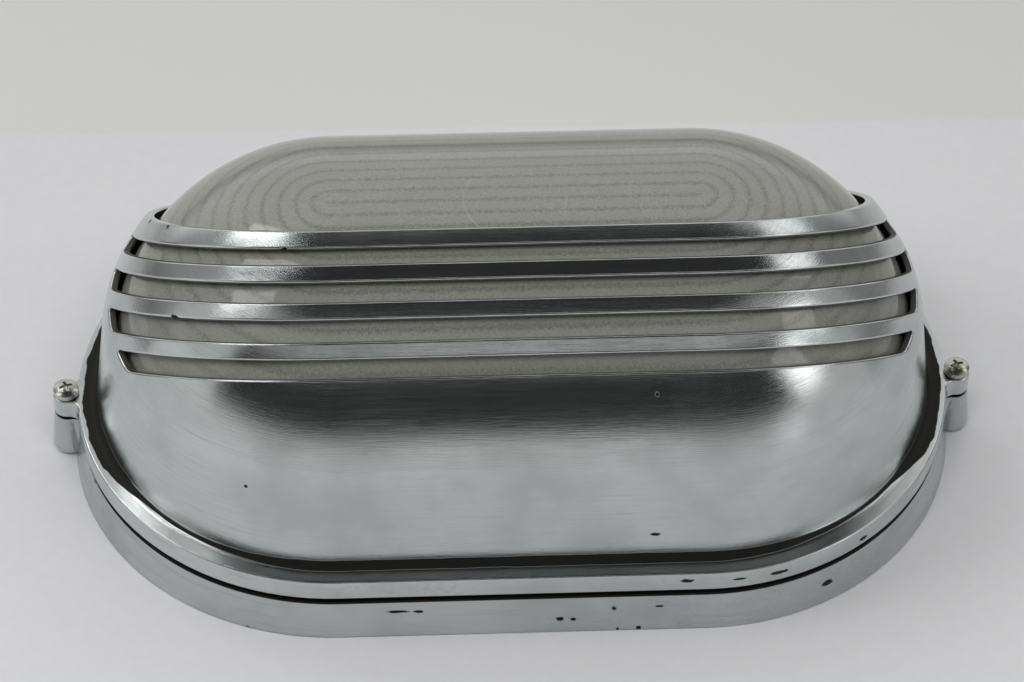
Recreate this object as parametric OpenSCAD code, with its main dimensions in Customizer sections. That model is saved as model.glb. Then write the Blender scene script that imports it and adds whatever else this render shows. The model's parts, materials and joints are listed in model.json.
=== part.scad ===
// Oval bulkhead wall light: cast base, louvred eyelid cover, frosted glass dome, one E27 lamp.
// Millimetres. The back of the base lies on z = 0, the long axis is X, +Z points out of the wall.

/* [Outline] */
// Half of the straight run between the two round ends
half_straight = 57; // [52:1:80]

/* [Base housing] */
// Radius of the round ends at the wall
base_r = 84; // [75:0.5:95]
// Height of the base
base_h = 14; // [12:0.5:20]
// How far the side leans in over the height
base_lean = 2.4; // [1:0.2:3.4]
// Thickness of the floor
floor_t = 2.5; // [2:0.1:4]
// Width of the rim that the gasket lies on
base_rim_w = 6; // [5:0.5:7]
// Chamfer along the outer edges of the base
edge_chamfer = 0.5; // [0.4:0.1:1.2]

/* [Cover casting] */
// How far the flange's edge lies inside the base's edge at the wall
flange_setback = 1.8; // [1:0.1:3.5]
// Height of the flange
flange_h = 7.8; // [6.5:0.1:10]
// Thickness of the flange above the glass's foot
flange_roof = 3.5; // [2.5:0.1:4]
// Width of the ledge between the flange's edge and the hood
hood_setback = 6.1; // [5:0.1:8]
// Radius of the cove between the flange and the hood
cove_r = 2.6; // [1:0.1:3.5]
// Draft of the hood's side, in degrees
hood_draft = 6.5; // [4:0.5:8]
// Radius of the shoulder in section
shoulder_r = 30; // [26:0.5:34]
// How much smaller the crown's radius in section is than the hood's radius
crown_less = 0.3; // [0:0.1:1]
// Height that the hood's crown would reach above the flange if it closed over the glass
crown_h = 87.5; // [84:0.5:95]
// Wall of the hood
hood_wall = 2.4; // [2:0.1:3]
// Tilt of the hood's slots, in degrees
slot_tilt = 40.5; // [36:0.5:45]
// Tilt of the hood's open rim, about the middle of its front
rim_tilt = 39; // [36:0.5:45]
// Distance from the middle of the flange's top to the lowest slot, square to the slot
lowest_slot = 12.3; // [9:0.1:16]
// Width of each ring between the slots
ring_w = 5.3; // [4:0.1:6]
// Widths of the four slots, from the lowest up
slot_widths = [5.7, 6.4, 5.7, 4.5]; // [3:0.1:7]
// Height above the flange where every slot ends
slot_end_h = 40.5; // [34:0.5:46]

/* [Lugs and cover screws] */
// Distance from the flange's edge to a cover screw's axis
lug_stand = 3.6; // [3.2:0.1:6]
// Radius of a lug's boss
lug_r = 4.3; // [4:0.1:5]
// Radius of the fillets between a boss and the casting
lug_fillet = 3; // [2:0.1:4]
// How much wider a base lug's boss is at the wall
base_lug_flare = 1.2; // [0.4:0.1:1.6]
// Rounding of the base lug's lower edge
base_lug_round = 2.6; // [1:0.1:3.5]
// Rounding of the cover lug's lower edge
cover_lug_round = 1.5; // [0.5:0.1:2.5]
// Radius of the screw's shank, M4
screw_r = 1.95; // [1.9:0.05:2]
// Radius of the pan head
screw_head_r = 4.1; // [4:0.1:4.3]
// Height of the pan head
screw_head_h = 2.8; // [2.4:0.1:3.1]
// Length of the shank below the head
screw_len = 18; // [15:0.5:19]
// Thickness of the fibre washer under the head
washer_t = 0.6; // [0.4:0.1:1]
// Radius of the fibre washer
washer_r = 3.7; // [3:0.1:4]

/* [Gasket] */
// Thickness of the gasket between the base and the cover
gasket_t = 2.7; // [2:0.1:3.5]
// How far the gasket stays inside the flange's edge
gasket_setback = 2.3; // [1.8:0.1:2.8]
// Thickness of the gasket's lip round the glass
gasket_lip = 0.8; // [0.6:0.1:1]

/* [Glass dome] */
// Clear gap between the hood and the glass
glass_gap = 1.7; // [1:0.1:2.5]
// Wall of the glass
glass_wall = 4; // [3:0.1:5]
// How far the glass's foot lies inside the flange's edge
foot_setback = 4.6; // [4:0.1:6]
// Distance between the ribs inside the crown
rib_pitch = 5.2; // [4.5:0.1:7]
// Number of ribs inside the crown on each side of the middle
rib_count = 9; // [4:1:10]
// Radius of a rib in section
rib_r = 0.9; // [0.5:0.1:1.2]

/* [Lamp and lampholder] */
// Height of the lamp's axis above the wall
lamp_z = 50; // [48:1:54]
// Radius of the lamp's bulb
bulb_r = 30; // [25:1:30]
// Length of the lamp from contact to crown
lamp_len = 105; // [96:1:108]
// Radius of the E27 cap
cap_r = 13.05; // [12.9:0.05:13.15]
// Length of the E27 cap
cap_len = 23; // [22:0.5:25]
// Outer radius of the porcelain lampholder
holder_r = 21; // [19:0.5:22]
// Length of the porcelain lampholder
holder_len = 42; // [38:1:44]
// Length of the lampholder's thick back end
holder_back_len = 9; // [8:0.5:11]
// How far the lampholder's waist is set in
holder_waist = 2.5; // [1:0.1:3]
// Length of the lip at the lampholder's mouth
holder_lip_len = 6; // [4:0.5:8]
// Depth of the lampholder's socket
socket_depth = 30; // [28:0.5:32]
// Wall of the brass shell in the socket
shell_wall = 0.6; // [0.4:0.1:0.8]
// Clearance between the lamp's cap and the shell
cap_clearance = 0.3; // [0.2:0.05:0.4]

/* [Bracket] */
// How far the bracket's upright lies beyond the outline's straight run
bracket_reach = 26; // [22:1:30]
// Thickness of the bracket's steel
bracket_t = 1.5; // [1:0.1:2]
// Width of the bracket
bracket_w = 30; // [26:1:34]
// Length of the bracket's foot
bracket_foot = 34; // [30:1:40]
// Height of the two bosses under the bracket
bracket_boss_h = 5; // [3:0.5:7]
// Distance between the bracket's two fixing screws
bracket_screw_gap = 18; // [16:0.5:20]
// Distance between the two screws that hold the lampholder
holder_screw_gap = 26; // [24:0.5:28]
// Radius of the wire hole in the bracket and of the recess behind it in the lampholder
wire_hole_r = 8; // [7:0.5:9]

/* [Terminal block] */
// Length of the porcelain block
block_l = 30; // [28:1:34]
// Width of the porcelain block
block_w = 18; // [16:1:20]
// Height of the porcelain block
block_h = 13; // [12:0.5:16]
// Distance between the two poles
pole_gap = 16; // [14:0.5:18]
// Distance from the origin to the middle of the block
block_x = 68; // [64:1:74]

/* [Wall fixing and cable entry] */
// Distance between the two wall screws
wall_screw_gap = 200; // [190:1:210]
// Radius of a wall-screw hole
wall_hole_r = 2.75; // [2.5:0.05:3]
// Radius of the raised pad round a wall-screw hole
wall_pad_r = 7; // [6:0.5:9]
// Height of that pad
wall_pad_h = 2; // [1:0.5:3]
// Radius of the cable hole in the floor
entry_r = 9; // [8:0.5:10]
// Distance from the origin to the cable hole
entry_x = 36; // [32:1:40]
// Distance from the light's middle to the earth screw, along and across
earth_x = -30; // [-40:1:-20]
earth_y = 48; // [44:1:52]

/* [Hidden] */

cut = 1;         // overshoot of a cutting tool past the face it cuts
fit = 0.1;       // clearance between two pieces that seat in each other
overlap = 0.5;   // how deep one form runs into another that it is part of
far = 400;       // longer than the whole light
round_fn = 96;   // fineness of round pieces

base_top_r = base_r - base_lean;
flange_r = base_r - flange_setback;
hood_r = flange_r - hood_setback;
crown_r = hood_r - crown_less;
lug_reach = flange_r + lug_stand;
glass_foot_r = flange_r - foot_setback;
base_inner_r = base_top_r - base_rim_w;
cover_z = base_h + gasket_t;          // underside of the cover
flange_z = cover_z + flange_h;        // top of the flange
ledge_z = flange_z - flange_roof;     // ledge that the glass's foot hangs under
foot_top_z = ledge_z - gasket_lip;    // top of the glass's foot
gasket_r = flange_r - gasket_setback;
pocket_r = glass_foot_r + gasket_lip + 4 * fit;     // pocket in the cover for the glass's foot
glass_inset = hood_wall + glass_gap;  // from the hood's outer face to the glass
screw_x = half_straight + lug_reach;
lug_gap = 0.3;                        // between the base's lug and the cover's
lug_root_r = gasket_r + lug_gap;      // a lug's web ends here, clear of the gasket

// Section of the hood: a drafted side, a shoulder arc and a crown arc, each tangent to the next.
// crown_c and shoulder_c are the centres of the two arcs, as [distance from the axis, height].
side_n = [cos(hood_draft), sin(hood_draft)];
side_t = [-sin(hood_draft), cos(hood_draft)];
crown_c = [0, flange_z + crown_h - crown_r];
shoulder_line = [hood_r, flange_z] - shoulder_r * side_n;
from_crown = shoulder_line - crown_c;
along = from_crown * side_t;
shoulder_c = shoulder_line
    + (sqrt(pow(along, 2) - from_crown * from_crown + pow(crown_r - shoulder_r, 2)) - along) * side_t;
crown_angle = atan2(shoulder_c[1] - crown_c[1], shoulder_c[0] - crown_c[0]);

function polar(r, a) = [r * cos(a), r * sin(a)];
// Radius of the drafted side at height z, with the face moved in by inset
function side_r(z, inset) = hood_r - inset / side_n[0] - (z - flange_z) * side_n[1] / side_n[0];

// Points along an arc, without its first one
function arc(centre, r, a1, a2, steps) =
    [for (i = [1 : steps]) centre + polar(r, a1 + (a2 - a1) * i / steps)];
shoulder_steps = 3;
crown_steps = 13;

// Half section of the dome moved in by inset, filled to the axis and down to height low
module dome_section(inset, low) {
    shoulder = shoulder_r - inset;
    polygon(concat(
        [[0, low], [side_r(low, inset), low], shoulder_c + polar(shoulder, hood_draft)],
        arc(shoulder_c, shoulder, hood_draft, crown_angle, shoulder_steps),
        arc(crown_c, crown_r - inset, crown_angle, 90, crown_steps)
    ));
}

// Sweeps a half section (x from the axis, y up) along one stretch of the light's outline:
// the straight run, the right end or the left end
STRETCHES = ["run", "right", "left"];
module along_stretch(stretch) {
    if (stretch == "run")
        translate([-half_straight, 0, 0]) rotate([90, 0, 90]) linear_extrude(2 * half_straight) {
            children();
            mirror([1, 0]) children();
        }
    else
        rotate([0, 0, stretch == "right" ? 0 : 180]) translate([half_straight, 0, 0])
            rotate([0, 0, -90]) rotate_extrude(angle = 180, $fn = round_fn) children();
}

module around_outline() {
    for (stretch = STRETCHES) along_stretch(stretch) children();
}

// A ring section with chamfered outer corners: from radius inner to outer at the bottom and top
module ring_section(inner, outer_low, outer_high, low, high, c) {
    polygon([
        [inner, low], [outer_low - c, low], [outer_low, low + c],
        [outer_high, high - c], [outer_high - c, high], [inner, high]
    ]);
}

module at_screws() {
    for (side = [-1, 1]) translate([side * screw_x, 0, 0]) children();
}

// Both lugs from height low to high: round bosses that are wider at the bottom by flare and
// have a rounded lower edge, with fillets tangent to the boss and to the casting's round end
// of radius edge_r
module lugs(edge_r, low, high, lower_round, flare) {
    low_r = lug_r + flare - lower_round;
    to_casting = edge_r + lug_fillet;
    to_boss = lug_r + lug_fillet;
    fillet_x = (pow(to_casting, 2) - pow(to_boss, 2) + pow(lug_reach, 2)) / (2 * lug_reach);
    fillet = [fillet_x, sqrt(pow(to_casting, 2) - pow(fillet_x, 2))];
    on_casting = fillet * edge_r / (edge_r + lug_fillet);
    on_boss = [lug_reach, 0] + (fillet - [lug_reach, 0]) * lug_r / (lug_r + lug_fillet);
    from_casting = atan2(-fillet[1], -fillet[0]);
    from_boss = atan2(-fillet[1], lug_reach - fillet[0]);
    flank = concat([on_casting], arc(fillet, lug_fillet, from_casting, from_boss, 6));
    for (side = [0, 180]) rotate([0, 0, side]) {
        translate([half_straight, 0, low + lower_round]) linear_extrude(high - low - lower_round)
            polygon(concat(
                [[lug_root_r, on_casting[1]]], flank,
                [for (i = [len(flank) - 1 : -1 : 0]) [flank[i][0], -flank[i][1]]],
                [[lug_root_r, -on_casting[1]]]
            ));
        translate([screw_x, 0, low]) rotate_extrude($fn = 64) polygon(concat(
            [[0, 0], [low_r, 0]],
            arc([low_r, lower_round], lower_round, -90, 0, 5),
            [[lug_r, high - low], [0, high - low]]
        ));
    }
}

// ---------------------------------------------------------------- base housing
wall_pad_z = floor_t + wall_pad_h;
bracket_z = floor_t + bracket_boss_h;
bracket_boss_r = 4;
screw_boss_r = 5;                     // bosses of the terminal block's screw and the earth screw
small_screw_r = 1.6;
small_head_r = 3;
small_head_h = 2;
bolt_play = 0.2;                      // clearance round a screw's shank
block_z = floor_t + 2;
entry_rim_w = 3;
grommet_seat_z = floor_t + 1.5;       // top of the rim round the cable hole
earth_z = floor_t + 4;

holder_back_x = -half_straight - bracket_reach;      // face of the bracket that carries the lampholder
holder_mouth_x = holder_back_x + holder_len;
bracket_foot_x = holder_back_x + bracket_foot / 2;

module at_bracket_screws() {
    for (y = [-1, 1]) translate([bracket_foot_x, y * bracket_screw_gap / 2, 0]) children();
}

module at_wall_screws() {
    for (x = [-1, 1]) translate([x * wall_screw_gap / 2, 0, 0]) children();
}

// Boss on the floor, up to height top
module base_boss(r, top) {
    translate([0, 0, floor_t - overlap]) cylinder(h = top - floor_t + overlap, r = r, $fn = 48);
}

inner_lean = 1;                       // how far the rim's inner face leans in towards the floor

// Half section of the base: chamfered outer edges, floor, and the rim that the gasket lies on
module base_section() {
    polygon([
        [0, 0], [base_r - edge_chamfer, 0], [base_r, edge_chamfer],
        [base_top_r, base_h - edge_chamfer], [base_top_r - edge_chamfer, base_h],
        [base_inner_r, base_h], [base_inner_r - inner_lean, floor_t], [0, floor_t]
    ]);
}

module base_housing() {
    color([0.66, 0.68, 0.70]) difference() {
        union() {
            around_outline() base_section();
            lugs(base_top_r, 0, cover_z - lug_gap, base_lug_round, base_lug_flare);
            at_wall_screws() base_boss(wall_pad_r, wall_pad_z);
            translate([entry_x, 0, 0]) base_boss(entry_r + entry_rim_w, grommet_seat_z);
            at_bracket_screws() base_boss(bracket_boss_r, bracket_z);
            translate([block_x, 0, 0]) base_boss(screw_boss_r, block_z);
            translate([earth_x, earth_y, 0]) base_boss(screw_boss_r, earth_z);
        }
        at_screws() translate([0, 0, flange_z + washer_t - screw_len - 1])
            cylinder(h = screw_len, r = screw_r + fit, $fn = 32);
        at_wall_screws() translate([0, 0, -cut])
            cylinder(h = wall_pad_z + 2 * cut, r = wall_hole_r, $fn = 48);
        translate([entry_x, 0, -cut]) cylinder(h = grommet_seat_z + 2 * cut, r = entry_r, $fn = 64);
        at_bracket_screws() translate([0, 0, floor_t]) cylinder(h = far, r = small_screw_r + fit, $fn = 32);
        translate([block_x, 0, floor_t]) cylinder(h = far, r = small_screw_r + fit, $fn = 32);
        translate([earth_x, earth_y, floor_t]) cylinder(h = far, r = small_screw_r + fit, $fn = 32);
    }
}

// ---------------------------------------------------------------- cover casting
// Space between two planes tilted back, measured square to them from the flange's top
module slanted_slab(tilt, low, high) {
    translate([0, 0, flange_z]) rotate([-tilt, 0, 0])
        translate([-far / 2, -far / 2, low]) cube([far, far, high - low]);
}

// Lower edge of slot i, counted from the lowest
function slot_low(i) = i == 0 ? lowest_slot : slot_low(i - 1) + slot_widths[i - 1] + ring_w;
last_slot = len(slot_widths) - 1;
top_ring_h = slot_low(last_slot) + slot_widths[last_slot] + ring_w;

// Angle from the crown's top to the middle of the rim's front, and height square to the rim
crown_up = crown_c[1] - flange_z;
rim_front = acos((top_ring_h - crown_up * cos(slot_tilt)) / crown_r) - slot_tilt;
rim_h = crown_up * cos(rim_tilt) + crown_r * cos(rim_front + rim_tilt);
flange_chamfer = 0.5;

// Section of the cove, tangent to the flange's top and to the hood's side
module cove_section() {
    centre = [side_r(flange_z + cove_r, -cove_r), flange_z + cove_r];
    foot = [hood_r - hood_wall / 2, flange_z - overlap];
    polygon(concat(
        [foot, [centre[0], foot[1]], centre - [0, cove_r]],
        arc(centre, cove_r, 270, 180 + hood_draft, 5),
        [[foot[0], centre[1]]]
    ));
}

// Half section of the cover: flange and hood, less the hollow and the pocket for the glass's foot
module cover_section() {
    difference() {
        union() {
            ring_section(0, flange_r, flange_r, cover_z, flange_z, flange_chamfer);
            dome_section(0, cover_z + 1);
            cove_section();
        }
        dome_section(hood_wall, cover_z - cut);
        translate([0, cover_z - cut]) square([pocket_r, ledge_z - cover_z + cut]);
    }
}

module cover_casting() {
    color([0.74, 0.76, 0.78]) difference() {
        union() {
            // each stretch is cut open by itself, before the three are joined
            for (stretch = STRETCHES) difference() {
                along_stretch(stretch) cover_section();
                slanted_slab(rim_tilt, rim_h, far);
                intersection() {
                    for (i = [0 : last_slot])
                        slanted_slab(slot_tilt, slot_low(i), slot_low(i) + slot_widths[i]);
                    translate([-far / 2, -far / 2, flange_z + slot_end_h]) cube(far);
                }
            }
            lugs(flange_r, cover_z, flange_z, cover_lug_round, 0);
        }
        at_screws() translate([0, 0, cover_z - cut])
            cylinder(h = flange_h + 2 * cut, r = screw_r + bolt_play, $fn = 32);
    }
}

// ---------------------------------------------------------------- glass and gasket
inner_inset = glass_inset + glass_wall;
foot_chamfer = 0.4;

// Half section of the glass: dome and foot, hollow inside but for the ribs of the crown
module glass_section() {
    difference() {
        union() {
            dome_section(glass_inset, cover_z);
            ring_section(0, glass_foot_r, glass_foot_r, cover_z, foot_top_z, foot_chamfer);
        }
        difference() {
            dome_section(inner_inset, cover_z - cut);
            for (k = [1 : rib_count]) translate(rib_centre(k)) circle(rib_r, $fn = 24);
        }
    }
}

module glass_dome() {
    color([0.80, 0.82, 0.76, 0.8]) around_outline() glass_section();
}

// Centre of rib k on the inner crown, as [distance from the axis, height]
function rib_centre(k) = let (
    r = k * rib_pitch,
    crown = crown_r - inner_inset,
    shoulder = shoulder_r - inner_inset,
    edge = (shoulder_c + polar(shoulder, crown_angle))[0]
) r < edge
    ? [r, crown_c[1] + sqrt(pow(crown, 2) - pow(r, 2))]
    : [r, shoulder_c[1] + sqrt(pow(shoulder, 2) - pow(r - shoulder_c[0], 2))];

module rubber_gasket() {
    inner = base_inner_r + 2 * fit;
    lip_out = glass_foot_r + gasket_lip;
    lip_in = side_r(ledge_z, hood_wall) + 6 * fit;      // clear of the hood's inner face
    color([0.06, 0.06, 0.06]) {
        around_outline() translate([inner, base_h]) square([gasket_r - inner, gasket_t]);
        around_outline() polygon([
            [glass_foot_r, cover_z], [lip_out, cover_z], [lip_out, ledge_z],
            [lip_in, ledge_z], [lip_in, foot_top_z], [glass_foot_r, foot_top_z]
        ]);
    }
}

// ---------------------------------------------------------------- cover screws
head_crown_r = 7;     // radius of the pan head's top in section
recess_span = 4.4;    // length, width and depth of the cross recess
recess_w = 1;
recess_depth = 1.6;
recess_turn = 20;

module cover_screw() {
    seat = flange_z + washer_t;
    color([0.72, 0.73, 0.70]) difference() {
        union() {
            translate([0, 0, seat]) rotate_extrude($fn = 64) intersection() {
                square([screw_head_r, screw_head_h]);
                translate([0, screw_head_h - head_crown_r]) circle(head_crown_r, $fn = 96);
            }
            translate([0, 0, seat - screw_len]) cylinder(h = screw_len + overlap, r = screw_r, $fn = 48);
        }
        for (a = [0, 90]) translate([0, 0, seat + screw_head_h - recess_depth + cut])
            rotate([0, 0, a + recess_turn]) cube([recess_span, recess_w, 2 * cut], center = true);
    }
}

module seal_washer() {
    color([0.35, 0.12, 0.08]) translate([0, 0, flange_z]) difference() {
        cylinder(h = washer_t, r = washer_r, $fn = 48);
        translate([0, 0, -cut]) cylinder(h = washer_t + 2 * cut, r = screw_r + fit, $fn = 32);
    }
}

module left_cover_screw() { translate([-screw_x, 0, 0]) cover_screw(); }
module right_cover_screw() { translate([screw_x, 0, 0]) cover_screw(); }
module left_seal_washer() { translate([-screw_x, 0, 0]) seal_washer(); }
module right_seal_washer() { translate([screw_x, 0, 0]) seal_washer(); }

// ---------------------------------------------------------------- bracket and lampholder
// Turns a solid made along +Z to lie along +X on the lamp's axis, starting at x
module on_lamp_axis(x) { translate([x, 0, lamp_z]) rotate([0, 90, 0]) children(); }

shell_in_r = cap_r + cap_clearance;
shell_out_r = shell_in_r + shell_wall;
socket_back_x = holder_mouth_x - socket_depth;

module at_holder_screws() {
    for (y = [-1, 1]) translate([0, y * holder_screw_gap / 2, lamp_z]) children();
}

module lampholder_bracket() {
    back = holder_back_x - bracket_t;
    top = lamp_z + holder_r - bracket_w / 2;
    color([0.60, 0.61, 0.62]) difference() {
        union() {
            translate([back, -bracket_w / 2, bracket_z])
                cube([bracket_foot + bracket_t, bracket_w, bracket_t]);
            translate([back, -bracket_w / 2, bracket_z]) cube([bracket_t, bracket_w, top - bracket_z]);
            translate([back, 0, top]) rotate([0, 90, 0]) cylinder(h = bracket_t, r = bracket_w / 2, $fn = 64);
        }
        at_bracket_screws() translate([0, 0, bracket_z - cut])
            cylinder(h = bracket_t + 2 * cut, r = small_screw_r + bolt_play, $fn = 32);
        at_holder_screws() translate([back - cut, 0, 0]) rotate([0, 90, 0])
            cylinder(h = bracket_t + 2 * cut, r = small_screw_r + bolt_play, $fn = 32);
        translate([back - cut, 0, lamp_z]) rotate([0, 90, 0])
            cylinder(h = bracket_t + 2 * cut, r = wire_hole_r, $fn = 48);
    }
}

// Small cheese-head screw with a slot, pointing down from z = 0
slot_w = 0.8;
module small_screw(len) {
    difference() {
        union() {
            cylinder(h = small_head_h, r = small_head_r, $fn = 48);
            translate([0, 0, -len]) cylinder(h = len + overlap, r = small_screw_r, $fn = 32);
        }
        translate([0, 0, small_head_h]) cube([far, slot_w, 2 * slot_w], center = true);
    }
}

module bracket_screws() {
    color([0.72, 0.73, 0.70]) at_bracket_screws() translate([0, 0, bracket_z + bracket_t])
        small_screw(bracket_boss_h + bracket_t - overlap);
}

holder_step = 3;              // length of the slope from the thick back end to the waist
lip_step = 2;                 // length of the slope from the waist to the lip
lip_set_in = 1;               // how far the lip is set in from the back end's radius
recess_len = 7;               // wiring recess in the lampholder's back
holder_screw_len = 7.5;

module lampholder_body() {
    color([0.93, 0.92, 0.88]) difference() {
        on_lamp_axis(holder_back_x) rotate_extrude($fn = round_fn) {
            polygon([
                [0, 0], [holder_r, 0], [holder_r, holder_back_len],
                [holder_r - holder_waist, holder_back_len + holder_step],
                [holder_r - holder_waist, holder_len - holder_lip_len - lip_step],
                [holder_r - lip_set_in, holder_len - holder_lip_len],
                [holder_r - lip_set_in, holder_len], [0, holder_len]
            ]);
        }
        on_lamp_axis(socket_back_x) cylinder(h = socket_depth + cut, r = shell_out_r + fit, $fn = 64);
        on_lamp_axis(holder_back_x - cut) cylinder(h = recess_len + cut, r = wire_hole_r, $fn = 48);
        at_holder_screws() translate([holder_back_x - cut, 0, 0]) rotate([0, 90, 0])
            cylinder(h = holder_screw_len + overlap + cut, r = small_screw_r + fit, $fn = 32);
    }
}

module lampholder_screws() {
    color([0.72, 0.73, 0.70]) at_holder_screws() translate([holder_back_x - bracket_t, 0, 0])
        rotate([0, -90, 0]) small_screw(holder_screw_len + bracket_t);
}

contact_h = 3;                // height of the sprung centre contact
contact_base_h = 1;
contact_base_r = 6;
contact_r = 3;
shell_back = 4;               // gap between the socket's back and the shell
shell_front = 3;              // how far the shell stays inside the socket's mouth

module lampholder_shell() {
    color([0.80, 0.66, 0.34]) on_lamp_axis(socket_back_x + shell_back) difference() {
        cylinder(h = socket_depth - shell_back - shell_front, r = shell_out_r, $fn = 64);
        translate([0, 0, -cut]) cylinder(h = socket_depth, r = shell_in_r, $fn = 64);
    }
}

module lampholder_contact() {
    color([0.80, 0.66, 0.34]) on_lamp_axis(socket_back_x) {
        cylinder(h = contact_base_h, r = contact_base_r, $fn = 48);
        cylinder(h = contact_h, r = contact_r, $fn = 48);
    }
}

// ---------------------------------------------------------------- lamp
lamp_x = socket_back_x + contact_h;       // tip of the lamp, on the centre contact
tip_h = 1.5;                              // solder tip
insulator_h = 3.5;                        // glass insulator at the end of the cap
cap_start = tip_h + insulator_h;
bulb_c = lamp_len - bulb_r;               // centre of the bulb's ball from the tip
neck_start = cap_start + cap_len;
tip_r = 4;
insulator_r = 6;
cap_wall_r = cap_r - 0.5;                 // root of the cap's thread
thread_pitch = 3.6;
thread_r = 1.6;                           // radius of the rolled thread in section
thread_turns = 5;
thread_start = 3.2;

module lamp_bulb() {
    // a short neck out of the cap, then a cone that meets the ball
    neck_r = cap_r - 0.6;
    neck_len = 7;
    neck_flare = 0.4;
    cone_share = 0.72;                    // where the cone meets the ball, as a share of its radius
    neck_end = bulb_c - bulb_r * cone_share;
    neck_end_r = bulb_r * sqrt(1 - pow(cone_share, 2));
    color([0.95, 0.95, 0.92, 0.6]) on_lamp_axis(lamp_x) rotate_extrude($fn = round_fn) {
        intersection() {
            translate([0, bulb_c]) circle(bulb_r, $fn = round_fn);
            translate([0, neck_end]) square([bulb_r + cut, lamp_len]);
        }
        polygon([
            [0, neck_start], [neck_r, neck_start], [neck_r + neck_flare, neck_start + neck_len],
            [neck_end_r, neck_end], [0, neck_end + overlap]
        ]);
    }
}

module lamp_cap() {
    color([0.78, 0.78, 0.76]) on_lamp_axis(lamp_x + cap_start) {
        cylinder(h = cap_len, r = cap_wall_r, $fn = 64);
        for (k = [0 : thread_turns - 1]) translate([0, 0, thread_start + k * thread_pitch])
            rotate_extrude($fn = 64) translate([cap_r - thread_r, 0]) circle(thread_r, $fn = 32);
    }
}

module lamp_tip() {
    on_lamp_axis(lamp_x) {
        color([0.75, 0.75, 0.72]) cylinder(h = tip_h, r = tip_r, $fn = 48);
        color([0.10, 0.10, 0.12]) translate([0, 0, tip_h])
            cylinder(h = insulator_h, r1 = insulator_r, r2 = cap_wall_r - 1, $fn = 64);
    }
}

// ---------------------------------------------------------------- terminal block and wires
clamp_r = 2.6;
clamp_bore_r = 1.5;
clamp_set_in = 1;             // how far a clamp stays inside the block's ends
pole_screw_r = 1.9;
pole_screw_h = 3.5;
pole_well_r = pole_screw_r + 3 * fit;
pole_z = block_z + block_h / 2;
block_well_z = block_z + 5;   // seat of the block's fixing screw

module at_poles() {
    for (y = [-1, 1]) translate([block_x, y * pole_gap / 2, 0]) children();
}

module terminal_block() {
    color([0.93, 0.92, 0.88]) difference() {
        translate([block_x - block_w / 2, -block_l / 2, block_z]) cube([block_w, block_l, block_h]);
        // through holes for the brass clamps, and wells for their screws
        at_poles() translate([-block_w / 2 - cut, 0, pole_z]) rotate([0, 90, 0])
            cylinder(h = block_w + 2 * cut, r = clamp_r + fit, $fn = 32);
        at_poles() for (x = [-1, 1]) translate([x * block_w / 4, 0, pole_z])
            cylinder(h = block_h, r = pole_well_r, $fn = 32);
        translate([block_x, 0, block_z - cut])
            cylinder(h = block_h + 2 * cut, r = small_screw_r + bolt_play, $fn = 32);
        translate([block_x, 0, block_well_z]) cylinder(h = block_h, r = small_head_r + 3 * fit, $fn = 48);
    }
}

module terminal_clamps() {
    color([0.80, 0.66, 0.34]) at_poles() translate([-block_w / 2 + clamp_set_in, 0, pole_z])
        rotate([0, 90, 0]) difference() {
            cylinder(h = block_w - 2 * clamp_set_in, r = clamp_r, $fn = 32);
            translate([0, 0, -cut]) cylinder(h = block_w, r = clamp_bore_r, $fn = 24);
        }
}

module terminal_screws() {
    color([0.72, 0.73, 0.70]) at_poles() for (x = [-1, 1])
        translate([x * block_w / 4, 0, pole_z + clamp_r]) difference() {
            cylinder(h = pole_screw_h, r = pole_screw_r, $fn = 32);
            translate([0, 0, pole_screw_h]) cube([far, slot_w, 2 * slot_w], center = true);
        }
}

module block_screw() {
    color([0.72, 0.73, 0.70]) translate([block_x, 0, block_well_z])
        small_screw(block_well_z - floor_t - overlap);
}

// Route points of one internal wire, from the terminal block to the back of the lampholder
wire_r = 1.2;
wire_back_x = holder_back_x - bracket_t;
function wire_route(side) = [
    [block_x - block_w / 2 + clamp_set_in + 2 * fit, side * pole_gap / 2, pole_z],
    [block_x - block_w / 2 - 4, side * pole_gap / 2, pole_z],
    [block_x - block_w / 2 - 12, side * (pole_gap / 2 + 4), block_z + 3],
    [20, side * 24, floor_t + 2],
    [-30, side * 26, floor_t + 2],
    [wire_back_x + 10, side * 22, floor_t + 3],
    [wire_back_x - 6, side * 14, floor_t + 9],
    [wire_back_x - 9, side * 6, lamp_z - 18],
    [wire_back_x - 7, side * 4, lamp_z - 5],
    [wire_back_x - 3, side * 3.5, lamp_z],
    [wire_back_x + 4, side * 3.5, lamp_z]
];

function unit(v) = v / norm(v);
// Direction of the route at point i
function route_dir(p, i) = unit(p[min(i + 1, len(p) - 1)] - p[max(i - 1, 0)]);
// Point at fraction f between points i and i + 1 of a smooth curve through the route
function smooth(p, i, f) = let (
    a = p[max(i - 1, 0)], b = p[i], c = p[i + 1], d = p[min(i + 2, len(p) - 1)]
) b + 0.5 * f * (c - a + f * (2 * a - 5 * b + 4 * c - d + f * (3 * (b - c) + d - a)));
wire_steps = 4;
function smooth_route(p) = concat(
    [for (i = [0 : len(p) - 2]) for (s = [0 : wire_steps - 1]) smooth(p, i, s / wire_steps)],
    [p[len(p) - 1]]
);

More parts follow.
